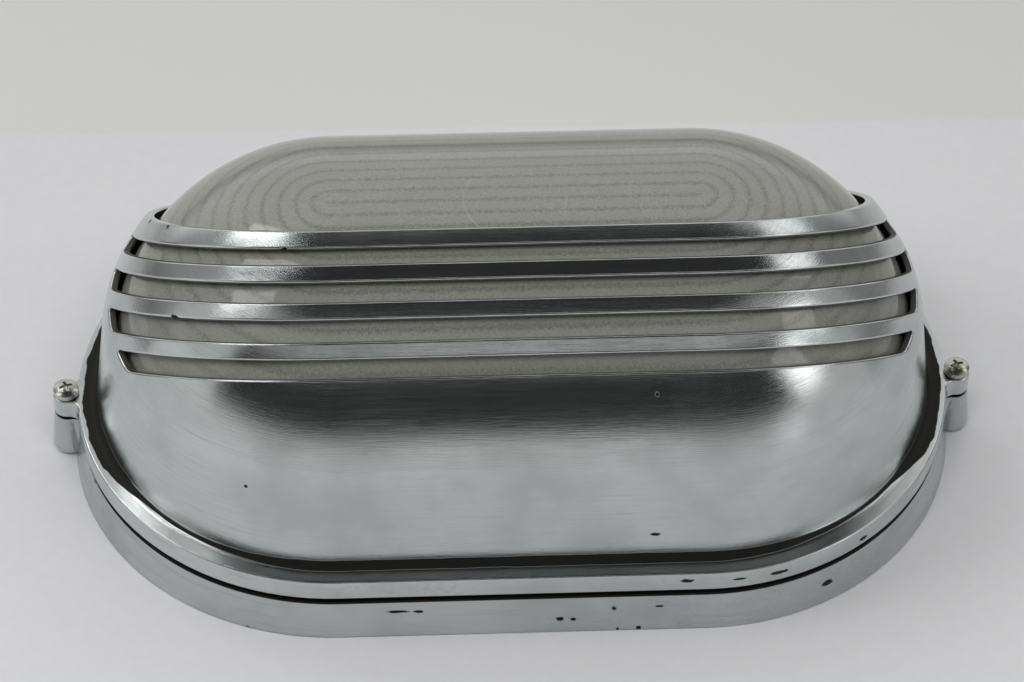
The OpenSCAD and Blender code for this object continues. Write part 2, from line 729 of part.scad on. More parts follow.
// A round tube swept along points, with its side vector kept square to the path
module swept_tube(p, r, sides) {
    dirs = [for (i = [0 : len(p) - 1]) route_dir(p, i)];
    rings = [for (i = [0 : len(p) - 1]) let (
        u = unit(cross(dirs[i], abs(dirs[i][2]) > 0.9 ? [0, 1, 0] : [0, 0, 1])),
        w = cross(dirs[i], u)
    ) [for (k = [0 : sides - 1]) p[i] + r * (cos(360 * k / sides) * u + sin(360 * k / sides) * w)]];
    last = len(p) - 1;
    polyhedron(
        points = [for (ring = rings) each ring],
        faces = concat(
            [[for (k = [0 : sides - 1]) k]],
            [for (i = [0 : last - 1]) for (k = [0 : sides - 1]) let (next = (k + 1) % sides)
                [i * sides + k, (i + 1) * sides + k, (i + 1) * sides + next, i * sides + next]],
            [[for (k = [sides - 1 : -1 : 0]) last * sides + k]]
        )
    );
}

module live_wire() { color([0.35, 0.20, 0.10]) swept_tube(smooth_route(wire_route(-1)), wire_r, 8); }
module neutral_wire() { color([0.15, 0.30, 0.60]) swept_tube(smooth_route(wire_route(1)), wire_r, 8); }

module earth_screw() {
    color([0.80, 0.66, 0.34]) translate([earth_x, earth_y, earth_z])
        small_screw(earth_z - floor_t - overlap);
}

// Closed membrane grommet that the supply cable is pushed through
grommet_lip_t = 1.5;
grommet_lip_w = 2;
nipple_h = 4;
nipple_r = 4;

module cable_grommet() {
    color([0.08, 0.08, 0.08]) translate([entry_x, 0, 0]) {
        translate([0, 0, 2 * fit]) cylinder(h = grommet_seat_z - 2 * fit, r = entry_r - fit, $fn = 64);
        translate([0, 0, grommet_seat_z]) cylinder(h = grommet_lip_t, r = entry_r + grommet_lip_w, $fn = 64);
        translate([0, 0, grommet_seat_z + grommet_lip_t])
            cylinder(h = nipple_h, r1 = entry_r - grommet_lip_w, r2 = nipple_r, $fn = 64);
    }
}

base_housing();
cover_casting();
glass_dome();
rubber_gasket();
left_cover_screw();
right_cover_screw();
left_seal_washer();
right_seal_washer();
lampholder_bracket();
bracket_screws();
lampholder_body();
lampholder_screws();
lampholder_shell();
lampholder_contact();
lamp_bulb();
lamp_cap();
lamp_tip();
terminal_block();
terminal_clamps();
terminal_screws();
block_screw();
live_wire();
neutral_wire();
earth_screw();
cable_grommet();
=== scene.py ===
"""Oval bulkhead wall light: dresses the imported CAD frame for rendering.

Shapes are worked out in millimetres in the CAD frame and turned into metres when a mesh is made.
The long axis is X, -Y is the louvred front, and +Z points out of the wall.
"""
import json
import math

import bpy
import numpy as np
from mathutils import Matrix, Vector, kdtree
from mathutils.geometry import delaunay_2d_cdt


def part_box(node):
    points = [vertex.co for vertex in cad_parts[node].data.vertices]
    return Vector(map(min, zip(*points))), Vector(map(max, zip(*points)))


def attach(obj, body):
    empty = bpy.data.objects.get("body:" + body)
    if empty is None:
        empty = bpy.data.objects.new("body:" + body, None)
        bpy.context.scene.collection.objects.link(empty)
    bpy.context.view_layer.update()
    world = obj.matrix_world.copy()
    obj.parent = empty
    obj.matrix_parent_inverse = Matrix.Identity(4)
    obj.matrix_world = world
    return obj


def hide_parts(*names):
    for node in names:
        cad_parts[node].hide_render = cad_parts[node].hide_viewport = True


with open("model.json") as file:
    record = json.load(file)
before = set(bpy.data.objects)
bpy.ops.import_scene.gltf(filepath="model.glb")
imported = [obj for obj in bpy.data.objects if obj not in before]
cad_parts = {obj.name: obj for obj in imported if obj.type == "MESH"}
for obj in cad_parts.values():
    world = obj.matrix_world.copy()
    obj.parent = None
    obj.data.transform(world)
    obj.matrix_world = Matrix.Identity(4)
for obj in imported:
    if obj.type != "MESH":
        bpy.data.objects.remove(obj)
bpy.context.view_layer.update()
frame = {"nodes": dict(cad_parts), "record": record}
nodes = frame["nodes"]
MM = 0.001


# ---------------------------------------------------------------- sizes
def corners(node):
    """Lowest and highest corner of a CAD node, in millimetres."""
    low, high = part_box(node)
    return np.array(low) / MM, np.array(high) / MM


COVER_LOW, COVER_HIGH = corners("cover_casting")
GASKET_LOW, GASKET_HIGH = corners("rubber_gasket")
GLASS_HIGH = corners("glass_dome")[1]
SCREW_LOW, SCREW_HIGH = corners("right_cover_screw")

HALF = GASKET_HIGH[0] - GASKET_HIGH[1]        # half of the outline's straight run
FLANGE_R = COVER_HIGH[1]
COVER_Z = COVER_LOW[2]                        # underside of the cover
FLANGE_Z = corners("right_seal_washer")[0][2]  # top of the flange
SCREW_X = (SCREW_LOW[0] + SCREW_HIGH[0]) / 2
LUG_R = COVER_HIGH[0] - SCREW_X
FOOT_R = GLASS_HIGH[1]                        # radius of the glass's foot

HOOD_R = FLANGE_R - 6.1
DRAFT = math.radians(6.5)
SHOULDER_R = 30
CROWN_R = HOOD_R - 0.3
CROWN_H = 87.5
HOOD_WALL = 2.4
GLASS_INSET = 4.1
SLOT_TILT = math.radians(40.5)
RIM_TILT = math.radians(39)
SLOTS = [(12.3, 18.0), (23.3, 29.7), (35.0, 40.7), (46.0, 50.5)]   # low and high edge, square to a slot
TOP_RING_H = 55.8                             # the rim's front, measured the same way
SLOT_END_Z = FLANGE_Z + 40.5
RIB_PITCH = 5.2
MOULD_RING_R = 15.9                           # thin ring that the mould left on the glass's crown
GLASS_WALL = 3.2
RIB_DEPTH = 0.7
RIB_EDGE_R = 58                               # the ribs fade out over the last 8 mm inside this radius
BASE_TOP = GASKET_LOW[2]                      # top of the base, where the gasket lies
GASKET_R = GASKET_HIGH[1]
EDGE_R = 0.8                                  # rounding of the hand-polished edges
COVE_R = 2.6                                  # cove between the flange and the hood
POCKET_R = FOOT_R + 1.2                       # pocket in the flange for the glass's foot
POCKET_EDGE = 0.6                             # rounding where the pocket meets the flange's underside
LEDGE_Z = FLANGE_Z - 3.5                      # where the pocket ends and the hood's inside begins
INSIDE_FOOT = -3.6                            # length up the section at which the hood's inside begins
LUG_REACH = SCREW_X - HALF
LUG_FILLET = 3
HOLE_R = 2.15                                 # the cover screws' holes
SLOT_CORNER = 2.2                             # rounding of the slots' corners
FLANGE_EDGE = 0.7                             # rounding of the flange's top edge

# The hood's section: a drafted side, a shoulder arc and a crown arc, each tangent to the next
SIDE_N = np.array([math.cos(DRAFT), math.sin(DRAFT)])
SIDE_T = np.array([-math.sin(DRAFT), math.cos(DRAFT)])
CROWN_C = np.array([0, FLANGE_Z + CROWN_H - CROWN_R])
shoulder_foot = np.array([HOOD_R, FLANGE_Z]) - SHOULDER_R * SIDE_N
from_crown = shoulder_foot - CROWN_C
along = from_crown @ SIDE_T
SIDE_LEN = math.sqrt(along**2 - from_crown @ from_crown + (CROWN_R - SHOULDER_R) ** 2) - along
SHOULDER_C = shoulder_foot + SIDE_LEN * SIDE_T
CROWN_TILT = math.atan2(SHOULDER_C[1] - CROWN_C[1], SHOULDER_C[0] - CROWN_C[0])
SHOULDER_LEN = SHOULDER_R * (CROWN_TILT - DRAFT)
CROWN_LEN = CROWN_R * (math.pi / 2 - CROWN_TILT)
AROUND = 4 * HALF + 2 * math.pi * HOOD_R      # length of the hood's outline at the flange

# The rim turns about the middle of its front, where it would be if it were tilted like the slots
crown_up = CROWN_C[1] - FLANGE_Z
rim_front = math.acos((TOP_RING_H - crown_up * math.cos(SLOT_TILT)) / CROWN_R) - SLOT_TILT
RIM_H = crown_up * math.cos(RIM_TILT) + CROWN_R * math.cos(rim_front + RIM_TILT)


# ---------------------------------------------------------------- the hood's surface
def section(t, inset=0.0):
    """Distance from the axis, height and tilt of the normal at length t up the hood's outer face."""
    t = np.asarray(t, float)
    crown = CROWN_TILT + (t - SIDE_LEN - SHOULDER_LEN) / CROWN_R
    shoulder = DRAFT + (t - SIDE_LEN) / SHOULDER_R
    on_side, on_shoulder = t < SIDE_LEN, t < SIDE_LEN + SHOULDER_LEN
    tilt = np.where(on_side, DRAFT, np.where(on_shoulder, shoulder, crown))
    radius = np.where(
        on_side,
        HOOD_R - t * math.sin(DRAFT),
        np.where(on_shoulder, SHOULDER_C[0] + SHOULDER_R * np.cos(tilt), CROWN_R * np.cos(tilt)),
    )
    height = np.where(
        on_side,
        FLANGE_Z + t * math.cos(DRAFT),
        np.where(on_shoulder, SHOULDER_C[1] + SHOULDER_R * np.sin(tilt), CROWN_C[1] + CROWN_R * np.sin(tilt)),
    )
    return radius - inset * np.cos(tilt), height - inset * np.sin(tilt), tilt


def outline(u):
    """Centre x and outward direction at length u round the outline, from the middle of the front."""
    u = np.asarray(u, float)
    side, far = np.sign(u), np.abs(u)
    angle = np.clip((far - HALF) / HOOD_R, 0, math.pi)
    past = np.maximum(far - HALF - math.pi * HOOD_R, 0)
    centre = side * (np.minimum(far, HALF) - past)
    return centre, side * np.sin(angle), -np.cos(angle)


def hood(u, t, inset=0.0):
    """Points and outward normals of the hood's face, moved in by inset."""
    radius, height, tilt = section(t, inset)
    centre, dx, dy = outline(u)
    points = np.stack([centre + dx * radius, dy * radius, height + 0 * centre], -1)
    normals = np.stack([dx * np.cos(tilt), dy * np.cos(tilt), np.sin(tilt) + 0 * dx], -1)
    return points, normals


def from_above(x, y):
    """Length round the outline and distance from its axis, of places seen from above."""
    far, beyond = np.abs(x), np.maximum(np.abs(x) - HALF, 0)
    angle = np.arctan2(beyond, -y)
    on_run = np.where(y < 0, far, AROUND / 2 - far)
    return np.where(beyond > 0, HALF + angle * HOOD_R, on_run), np.hypot(beyond, y)


def locate(points, side):
    """Where points on or near the hood lie, as lengths round the outline and up the section."""
    u, radius = from_above(points[:, 0], points[:, 1])
    z = points[:, 2]
    crown = np.arctan2(z - CROWN_C[1], radius)
    shoulder = np.arctan2(z - SHOULDER_C[1], radius - SHOULDER_C[0])
    t_side = (radius - HOOD_R) * SIDE_T[0] + (z - FLANGE_Z) * SIDE_T[1]
    t = np.where(
        crown > CROWN_TILT,
        SIDE_LEN + SHOULDER_LEN + (crown - CROWN_TILT) * CROWN_R,
        np.where(shoulder > DRAFT, SIDE_LEN + (shoulder - DRAFT) * SHOULDER_R, t_side),
    )
    return side * u, t


def height_above(points):
    """Plain height, as a measure for solve()."""
    return points[..., 2]


def tilted(tilt):
    """A measure of height square to planes of this tilt, from the middle of the flange's top."""
    def measure(points):
        return (points[..., 2] - FLANGE_Z) * math.cos(tilt) + points[..., 1] * math.sin(tilt)
    return measure


rim_height, slot_height = tilted(RIM_TILT), tilted(SLOT_TILT)


def solve(measure, goal, u, inset):
    """Length up the section where measure, which grows with it, reaches goal."""
    low, high = np.full(len(u), -6.0), np.full(len(u), SIDE_LEN + SHOULDER_LEN + CROWN_LEN)
    for _ in range(48):
        middle = (low + high) / 2
        short = measure(hood(u, middle, inset)[0]) < goal
        low, high = np.where(short, middle, low), np.where(short, high, middle)
    return (low + high) / 2


SLOT_POINTS = (300, 14)    # along a slot's long side and across its end


def slot_reach(height, inset):
    """How far round the outline a slot's plane runs before it meets the slots' ends."""
    t = solve(height_above, SLOT_END_Z, np.zeros(1), inset)
    radius = section(t, inset)[0][0]
    y = (height - (SLOT_END_Z - FLANGE_Z) * math.cos(SLOT_TILT)) / math.sin(SLOT_TILT)
    return HALF + HOOD_R * math.acos(-y / radius)


def slot_loop(low, high, inset):
    """Points round one slot's edge, with the same count on each side whatever the inset."""
    long_side, end = SLOT_POINTS
    low_u, high_u = slot_reach(low, inset), slot_reach(high, inset)
    u = np.concatenate([
        np.linspace(-low_u, low_u, long_side, endpoint=False),
        np.linspace(low_u, high_u, end, endpoint=False),
        np.linspace(high_u, -high_u, long_side, endpoint=False),
        np.linspace(-high_u, -low_u, end, endpoint=False),
    ])
    t = np.concatenate([
        solve(slot_height, low, u[:long_side], inset),
        solve(height_above, SLOT_END_Z, u[long_side:long_side + end], inset),
        solve(slot_height, high, u[long_side + end:2 * long_side + end], inset),
        solve(height_above, SLOT_END_Z, u[2 * long_side + end:], inset),
    ])
    return hood(u, t, inset)[0]


def round_corners(loops, corner_rows, reach):
    """Rounds the same corners of matching closed loops, over a length reach either side."""
    first = loops[0]
    steps = np.linalg.norm(np.roll(first, -1, 0) - first, axis=1)
    place = np.concatenate([[0], np.cumsum(steps)[:-1]])
    total = steps.sum()
    stops = np.append(place, total)

    def at(ring, length):
        """The point at a length round a loop."""
        return np.array([np.interp(length % total, stops, ring[:, k]) for k in range(3)])

    out = []
    for loop in loops:
        ring = np.vstack([loop, loop[:1]])
        new = loop.copy()
        for row in corner_rows:
            before, corner, after = (at(ring, place[row] + step) for step in (-reach, 0, reach))
            away = (place - place[row] + total / 2) % total - total / 2
            for i in np.flatnonzero(np.abs(away) < reach):
                f = (away[i] + reach) / (2 * reach)
                new[i] = (1 - f) ** 2 * before + 2 * f * (1 - f) * corner + f**2 * after
        out.append(new)
    return out


# ---------------------------------------------------------------- mesh making
UV_PER_METRE = 10


class Shape:
    """Gathers vertices, normals, surface lengths and faces of one mesh."""

    def __init__(self):
        self.points, self.normals, self.lengths, self.faces = [], [], [], []
        self.count = 0

    def add(self, points, normals, lengths):
        """Adds rows of vertices and returns their indices in the same layout."""
        points = np.asarray(points, float)
        rows = np.arange(self.count, self.count + points.size // 3).reshape(points.shape[:-1])
        self.points.append(points.reshape(-1, 3))
        self.normals.append(np.broadcast_to(normals, points.shape).reshape(-1, 3))
        self.lengths.append(np.broadcast_to(lengths, points.shape[:-1] + (2,)).reshape(-1, 2))
        self.count += points.size // 3
        return rows

    def strips(self, rows, closed, flip=False):
        """Quads between neighbouring rows of vertex indices."""
        across = np.concatenate([rows, rows[:, :1]], 1) if closed else rows
        a, b = across[:-1, :-1], across[:-1, 1:]
        d, c = across[1:, :-1], across[1:, 1:]
        quads = np.stack([a, b, c, d], -1).reshape(-1, 4)
        self.faces += (quads[:, ::-1] if flip else quads).tolist()

    def finish(self, name, material, body, replaced, slot):
        """Makes the object, smooth by its stated normals, and sets it on its body for a CAD node."""
        mesh = bpy.data.meshes.new(name)
        points = np.concatenate(self.points)
        mesh.from_pydata((points * MM).tolist(), [], self.faces)
        mesh.polygons.foreach_set("use_smooth", [True] * len(mesh.polygons))
        lengths = np.concatenate(self.lengths)
        layer = mesh.uv_layers.new(name="around")
        corner = np.empty(len(mesh.loops), np.int32)
        mesh.loops.foreach_get("vertex_index", corner)
        layer.data.foreach_set("uv", (lengths[corner] * MM * UV_PER_METRE).ravel())
        mesh.update()
        normals = np.concatenate(self.normals)
        normals = normals / np.maximum(np.linalg.norm(normals, axis=1, keepdims=True), 1e-9)
        mesh.normals_split_custom_set_from_vertices(normals.tolist())
        mesh.materials.append(material)
        piece = bpy.data.objects.new(name, mesh)
        bpy.context.scene.collection.objects.link(piece)
        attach(piece, body)
        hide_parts(replaced)


def inside(points, loop):
    """Even-odd test of 2-D points against one closed loop."""
    x, y = points[:, 0], points[:, 1]
    hit = np.zeros(len(points), bool)
    for (x1, y1), (x2, y2) in zip(loop, np.roll(loop, -1, 0)):
        if y1 == y2:
            continue
        crosses = (y1 > y) != (y2 > y)
        hit ^= crosses & (x < (x2 - x1) * (y - y1) / (y2 - y1) + x1)
    return hit


def loop_edges(loops):
    """Edges round each of several closed loops whose points are numbered in one run."""
    edges, start = [], 0
    for loop in loops:
        ring = np.arange(start, start + len(loop))
        edges += np.stack([ring, np.roll(ring, -1)], 1).tolist()
        start += len(loop)
    return edges


def triangulated(flat, edges, outer, holes):
    """Joins 2-D points by triangles that keep the edges, inside the outer loop and outside the holes."""
    result = delaunay_2d_cdt([tuple(p) for p in flat], edges, [], 0, 1e-5)
    flat = np.array([tuple(p) for p in result[0]])
    triangles = np.array(result[2])
    middle = flat[triangles].mean(1)
    keep = inside(middle, outer)
    for hole in holes:
        keep &= ~inside(middle, hole)
    return flat, triangles[keep]


FACE_STEP = 2.0      # spacing up the section of the points that carry the hood's curve
FACE_CLEAR = 1.4     # they keep this far from the loops


def fill(shape, frame_loop, holes, inset, inward):
    """Triangulates the hood's face between its outer loop and the slots."""
    border = np.concatenate([frame_loop] + holes)
    tree = kdtree.KDTree(len(border))
    for i, (u, t) in enumerate(border):
        tree.insert((u, t, 0), i)
    tree.balance()
    t_rows = np.concatenate([
        np.linspace(frame_loop[:, 1].min(), SIDE_LEN, 12),
        np.arange(SIDE_LEN + 1.5, frame_loop[:, 1].max(), FACE_STEP),
    ])
    u_cols = np.linspace(-AROUND / 2, AROUND / 2, 260)[1:-1]
    grid = np.stack(np.meshgrid(u_cols, t_rows), -1).reshape(-1, 2)
    clear = np.array([tree.find((u, t, 0))[2] > FACE_CLEAR for u, t in grid])
    grid = grid[clear]
    grid = grid[inside(grid, frame_loop)]
    for hole in holes:
        grid = grid[~inside(grid, hole)]
    edges = loop_edges([frame_loop] + holes)
    flat, triangles = triangulated(np.concatenate([border, grid]), edges, frame_loop, holes)
    points, normals = hood(flat[:, 0], flat[:, 1], inset)
    rows = shape.add(points, -normals if inward else normals, flat)
    triangles = rows[triangles]
    # wind every triangle to face the way its normals point
    corner = np.concatenate(shape.points)[triangles]
    facing = np.cross(corner[:, 1] - corner[:, 0], corner[:, 2] - corner[:, 0])
    wanted = np.concatenate(shape.normals)[triangles].mean(1)
    turned = (facing * wanted).sum(1) < 0
    triangles[turned] = triangles[turned][:, ::-1]
    shape.faces += triangles.tolist()


def unit(v):
    """Vectors made one long."""
    return v / np.maximum(np.linalg.norm(v, axis=-1, keepdims=True), 1e-12)


def rounded_edge(corner_points, n1, n2, radius, steps):
    """Rows of points and normals that round the edge between faces with normals n1 and n2."""
    n1, n2 = unit(n1), unit(n2)
    cosine = (n1 * n2).sum(-1, keepdims=True)
    centre = corner_points - radius * (n1 + n2) / (1 + cosine)
    angle = np.arccos(np.clip(cosine, -1, 1))
    turned = [
        (np.sin((1 - f) * angle) * n1 + np.sin(f * angle) * n2) / np.maximum(np.sin(angle), 1e-6)
        for f in np.linspace(0, 1, steps + 1)
    ]
    return np.stack([centre + radius * d for d in turned]), np.stack(turned)


def wall_normals(outer, inner, closed, away):
    """Normals of the wall between two matching edges; away(points) is positive off the metal."""
    if closed:
        tangent = np.roll(outer, -1, 0) - np.roll(outer, 1, 0)
    else:
        tangent = np.gradient(outer, axis=0)
    normals = unit(np.cross(unit(tangent), unit(inner - outer)))
    return normals if away(outer + normals) > away(outer - normals) else -normals


def strip(shape, points, normals, closed, width):
    """Adds rows of a strip that faces the way its normals point."""
    run = np.cumsum(np.linalg.norm(np.diff(points[0], axis=0, prepend=points[0][:1]), axis=1))
    lengths = np.stack(
        [np.broadcast_to(run, points.shape[:2]),
         np.broadcast_to(np.linspace(0, width, len(points))[:, None], points.shape[:2])], -1)
    rows = shape.add(points, normals, lengths)
    facing = np.cross(points[0, 1] - points[0, 0], points[1, 0] - points[0, 0])
    shape.strips(rows, closed, flip=bool(facing @ (normals[0, 0] + normals[1, 0]) < 0))


def edge_strip(polished, wall, outer, inner, outer_n, inner_n, wall_n, closed):
    """Polished rounding of the outer edge, then the as-cast wall and inner edge.

    Returns the edge's first and last row."""
    top, top_n = rounded_edge(outer, outer_n, wall_n, EDGE_R, 5)
    bottom, bottom_n = rounded_edge(inner, wall_n, -inner_n, EDGE_R / 2, 3)
    strip(polished, top, top_n, closed, 1.3)
    strip(wall, np.concatenate([top[-1:], bottom]), np.concatenate([top_n[-1:], bottom_n]), closed, 1.7)
    return top[0], bottom[-1]


def swept(shape, profile, normals, u, closed=True):
    """Sweeps a section (distance from the axis, height) round the outline."""
    centre, dx, dy = outline(u)
    points = np.stack([
        centre[None] + dx[None] * profile[:, :1],
        dy[None] * profile[:, :1],
        np.broadcast_to(profile[:, 1:], (len(profile), len(u))),
    ], -1)
    turned = np.stack([
        dx[None] * normals[:, :1],
        dy[None] * normals[:, :1],
        np.broadcast_to(normals[:, 1:], (len(profile), len(u))),
    ], -1)
    run = np.concatenate([[0], np.cumsum(np.linalg.norm(np.diff(profile, axis=0), axis=1))])
    lengths = np.stack(
        [np.broadcast_to(u, points.shape[:2]), np.broadcast_to(run[:, None], points.shape[:2])], -1)
    rows = shape.add(points, turned, lengths)
    facing = np.cross(points[0, 1] - points[0, 0], points[1, 0] - points[0, 0])
    shape.strips(rows, closed, flip=bool(facing @ (turned[0, 0] + turned[1, 0]) < 0))


ROUND_STEP = 3    # degrees between the stations round the oval's ends


def outline_stations(step_degrees):
    """Places round the outline that hold both straight runs and the two ends."""
    ends = np.radians(np.arange(0, 180 + step_degrees / 2, step_degrees))
    right = HALF + ends * HOOD_R
    return np.concatenate([-right[::-1], right])


def profile_with_rounds(path, radii, steps=5):
    """A section along a path with each corner rounded, and its normals to the right of travel."""
    path = np.asarray(path, float)
    points, normals = [], []
    for i, (corner, radius) in enumerate(zip(path, radii)):
        if i in (0, len(path) - 1):
            way = unit(path[1] - path[0] if i == 0 else path[-1] - path[-2])
            points.append([corner])
            normals.append([[way[1], -way[0]]])
            continue
        before, after = unit(corner - path[i - 1]), unit(path[i + 1] - corner)
        n1, n2 = np.array([before[1], -before[0]]), np.array([after[1], -after[0]])
        turn = before[0] * after[1] - before[1] * after[0]
        sign = 1 if turn > 0 else -1
        centre = corner - sign * radius * (n1 + n2) / (1 + n1 @ n2)
        angle = math.acos(np.clip(n1 @ n2, -1, 1))
        fan = [(math.sin((1 - f) * angle) * n1 + math.sin(f * angle) * n2) / math.sin(angle)
               for f in np.linspace(0, 1, steps + 1)]
        points.append([centre + sign * radius * d for d in fan])
        normals.append(fan)
    return np.concatenate(points), np.concatenate(normals)


# ---------------------------------------------------------------- material graphs
def add_node(tree, kind, inputs=None, **settings):
    """A shader node with its settings, and its inputs linked or given a value."""
    made = tree.nodes.new("ShaderNode" + kind)
    for key, value in settings.items():
        setattr(made, key, value)
    for key, value in (inputs or {}).items():
        if isinstance(value, bpy.types.NodeSocket):
            tree.links.new(value, made.inputs[key])
        else:
            made.inputs[key].default_value = value
    return made


class Graph:
    """A material's node graph, built by short calls."""

    def __init__(self, name):
        self.material = bpy.data.materials.new(name)
        self.material.use_nodes = True
        self.tree = self.material.node_tree
        self.tree.nodes.clear()
        self.output = self.tree.nodes.new("ShaderNodeOutputMaterial")

    def node(self, kind, inputs=None, **settings):
        """A node with its settings, and its inputs linked or given a value."""
        return add_node(self.tree, kind, inputs, **settings)

    def math(self, operation, a, b=0.0):
        """One Math node's result."""
        return self.node("Math", {0: a, 1: b}, operation=operation).outputs[0]

    def product(self, *factors):
        """All the factors multiplied."""
        total = factors[0]
        for factor in factors[1:]:
            total = self.math("MULTIPLY", total, factor)
        return total

    def mapped(self, value, low, high, to_low=0.0, to_high=1.0, smooth=True):
        """A value's place between low and high, as one between to_low and to_high."""
        inputs = {"Value": value, "From Min": low, "From Max": high, "To Min": to_low, "To Max": to_high}
        kind = "SMOOTHSTEP" if smooth else "LINEAR"
        return self.node("MapRange", inputs, interpolation_type=kind).outputs[0]

    def mix(self, share, a, b):
        """Mixes two colours."""
        return self.node("Mix", {0: share, 6: a, 7: b}, data_type="RGBA").outputs[2]

    def noise(self, vector, scale, detail=3.0, roughness=0.55):
        """Cloudy noise from 0 to 1."""
        inputs = {"Vector": vector, "Scale": scale, "Detail": detail, "Roughness": roughness}
        return self.node("TexNoise", inputs).outputs["Fac"]

    def stretched(self, vector, scale):
        """A vector scaled by its own amount along each axis."""
        return self.node("VectorMath", {0: vector, 1: scale}, operation="MULTIPLY").outputs[0]

    def bump(self, height, distance, strength):
        """A normal tilted by a height."""
        return self.node("Bump", {"Height": height, "Distance": distance, "Strength": strength}).outputs[0]

    def from_axis(self, place):
        """x, y, z, how far past the straight run, and the distance from the oval's axis."""
        split = self.node("SeparateXYZ", {0: place})
        x, y, z = (split.outputs[k] for k in range(3))
        past = self.math("SUBTRACT", self.math("ABSOLUTE", x), HALF * MM)
        beyond = self.math("MAXIMUM", past, 0.0)
        squares = self.math("ADD", self.product(beyond, beyond), self.product(y, y))
        return x, y, z, beyond, self.math("SQRT", squares)

    def surface(self, shader):
        """Ends the graph in a shader, and gives the material."""
        self.tree.links.new(shader, self.output.inputs["Surface"])
        return self.material


def colour(r, g, b):
    """An opaque colour."""
    return (r, g, b, 1.0)


def darker(tone, share):
    """A colour at a share of its brightness."""
    return colour(*(share * c for c in tone))


BACKDROP_Y = 0.142              # where the backdrop paper begins behind the light
BACKDROP_SLOPE = 0.0087         # and how far it is from square
DIRT_AND_SHADE = (0.012, 0.012, 0.010)    # in the pits and where the polishing mop didn't reach, and as painted shade in the gap between cover and base


def marks(g, place, spots):
    """A mask of ragged dark pits: each spot is its place in millimetres, half length and half height."""
    rough_edge = g.product(g.math("SUBTRACT", g.noise(place, 1100.0), 0.5), 1.1)
    mask = 0.0
    for at, half_length, half_height in spots:
        centre = tuple(k * MM for k in at)
        off = g.node("VectorMath", {0: place, 1: centre}, operation="SUBTRACT").outputs[0]
        size = tuple(1 / (k * MM) for k in (half_length, half_length, half_height))
        reach = g.node("VectorMath", {0: g.stretched(off, size)}, operation="LENGTH").outputs["Value"]
        mask = g.math("MAXIMUM", mask, g.mapped(g.math("ADD", reach, rough_edge), 1.15, 0.85))
    return mask


def polished_aluminium(name, tone, streak_scale, roughness, spots, skin, by_uv):
    """Hand-polished cast aluminium: fine streaks round the casting, cloudy wear and a few casting pits.

    streak_scale stretches the streaks' noise, which follows the mesh's own lengths if by_uv. spots are
    the larger pits, and skin masks what the polishing mop didn't reach, together with painted shade in
    the gap between cover and base."""
    g = Graph(name)
    place = g.node("TexCoord").outputs["Object"]
    around = g.node("UVMap", uv_map="around").outputs[0] if by_uv else place
    fine = g.noise(g.stretched(around, streak_scale), 1.0, 4.0, 0.6)
    broad = g.noise(g.stretched(around, tuple(0.22 * k for k in streak_scale)), 1.0, 3.0, 0.5)
    streaks = g.math("ADD", g.product(fine, 0.65), g.product(broad, 0.35))
    cloud = g.noise(place, 28.0, 4.0, 0.6)

    # small casting pits in a few places, and the larger ones
    cell = g.node("TexVoronoi", {"Vector": place, "Scale": 95.0, "Randomness": 1.0}).outputs["Distance"]
    ragged = g.math("ADD", cell, g.product(g.noise(place, 900.0), 0.18))
    rare = g.mapped(g.noise(place, 33.0, 1.0), 0.67, 0.73)
    pit = g.math("MAXIMUM", g.product(g.mapped(ragged, 0.20, 0.13), rare), marks(g, place, spots))
    dirt_and_shade = g.math("MAXIMUM", pit, skin(g, place))

    base = g.mix(g.mapped(cloud, 0.35, 0.7), colour(*tone), darker(tone, 0.80))
    base = g.mix(g.mapped(streaks, 0.48, 0.66), base, darker(tone, 0.85))
    # near black in the pits and the as-cast skin, and painted shade where the skin mask covers the gap
    # between cover and base
    base = g.mix(dirt_and_shade, base, colour(*DIRT_AND_SHADE))
    rough = g.math("ADD", g.mapped(streaks, 0.3, 0.75, roughness, roughness + 0.14, False),
                   g.mapped(cloud, 0.4, 0.75, 0.0, 0.05))
    rough = g.math("ADD", rough, g.product(dirt_and_shade, 0.35))
    height = g.math("SUBTRACT", g.product(fine, 0.35), g.product(pit, 2.0))
    if by_uv:
        tangent = g.node("Tangent", direction_type="UV_MAP", uv_map="around").outputs[0]
    else:
        tangent = g.node("Tangent", direction_type="RADIAL", axis="Z").outputs[0]
    shader = g.node("BsdfPrincipled", {
        "Base Color": base, "Metallic": g.mapped(dirt_and_shade, 0.0, 1.0, 1.0, 0.1, False), "Roughness": rough,
        "Normal": g.bump(height, 0.00014, 0.55), "Tangent": tangent,
        "Specular IOR Level": 0.2, "Anisotropic": 0.4, "Anisotropic Rotation": 0.25,
    })
    return g.surface(shader.outputs[0])


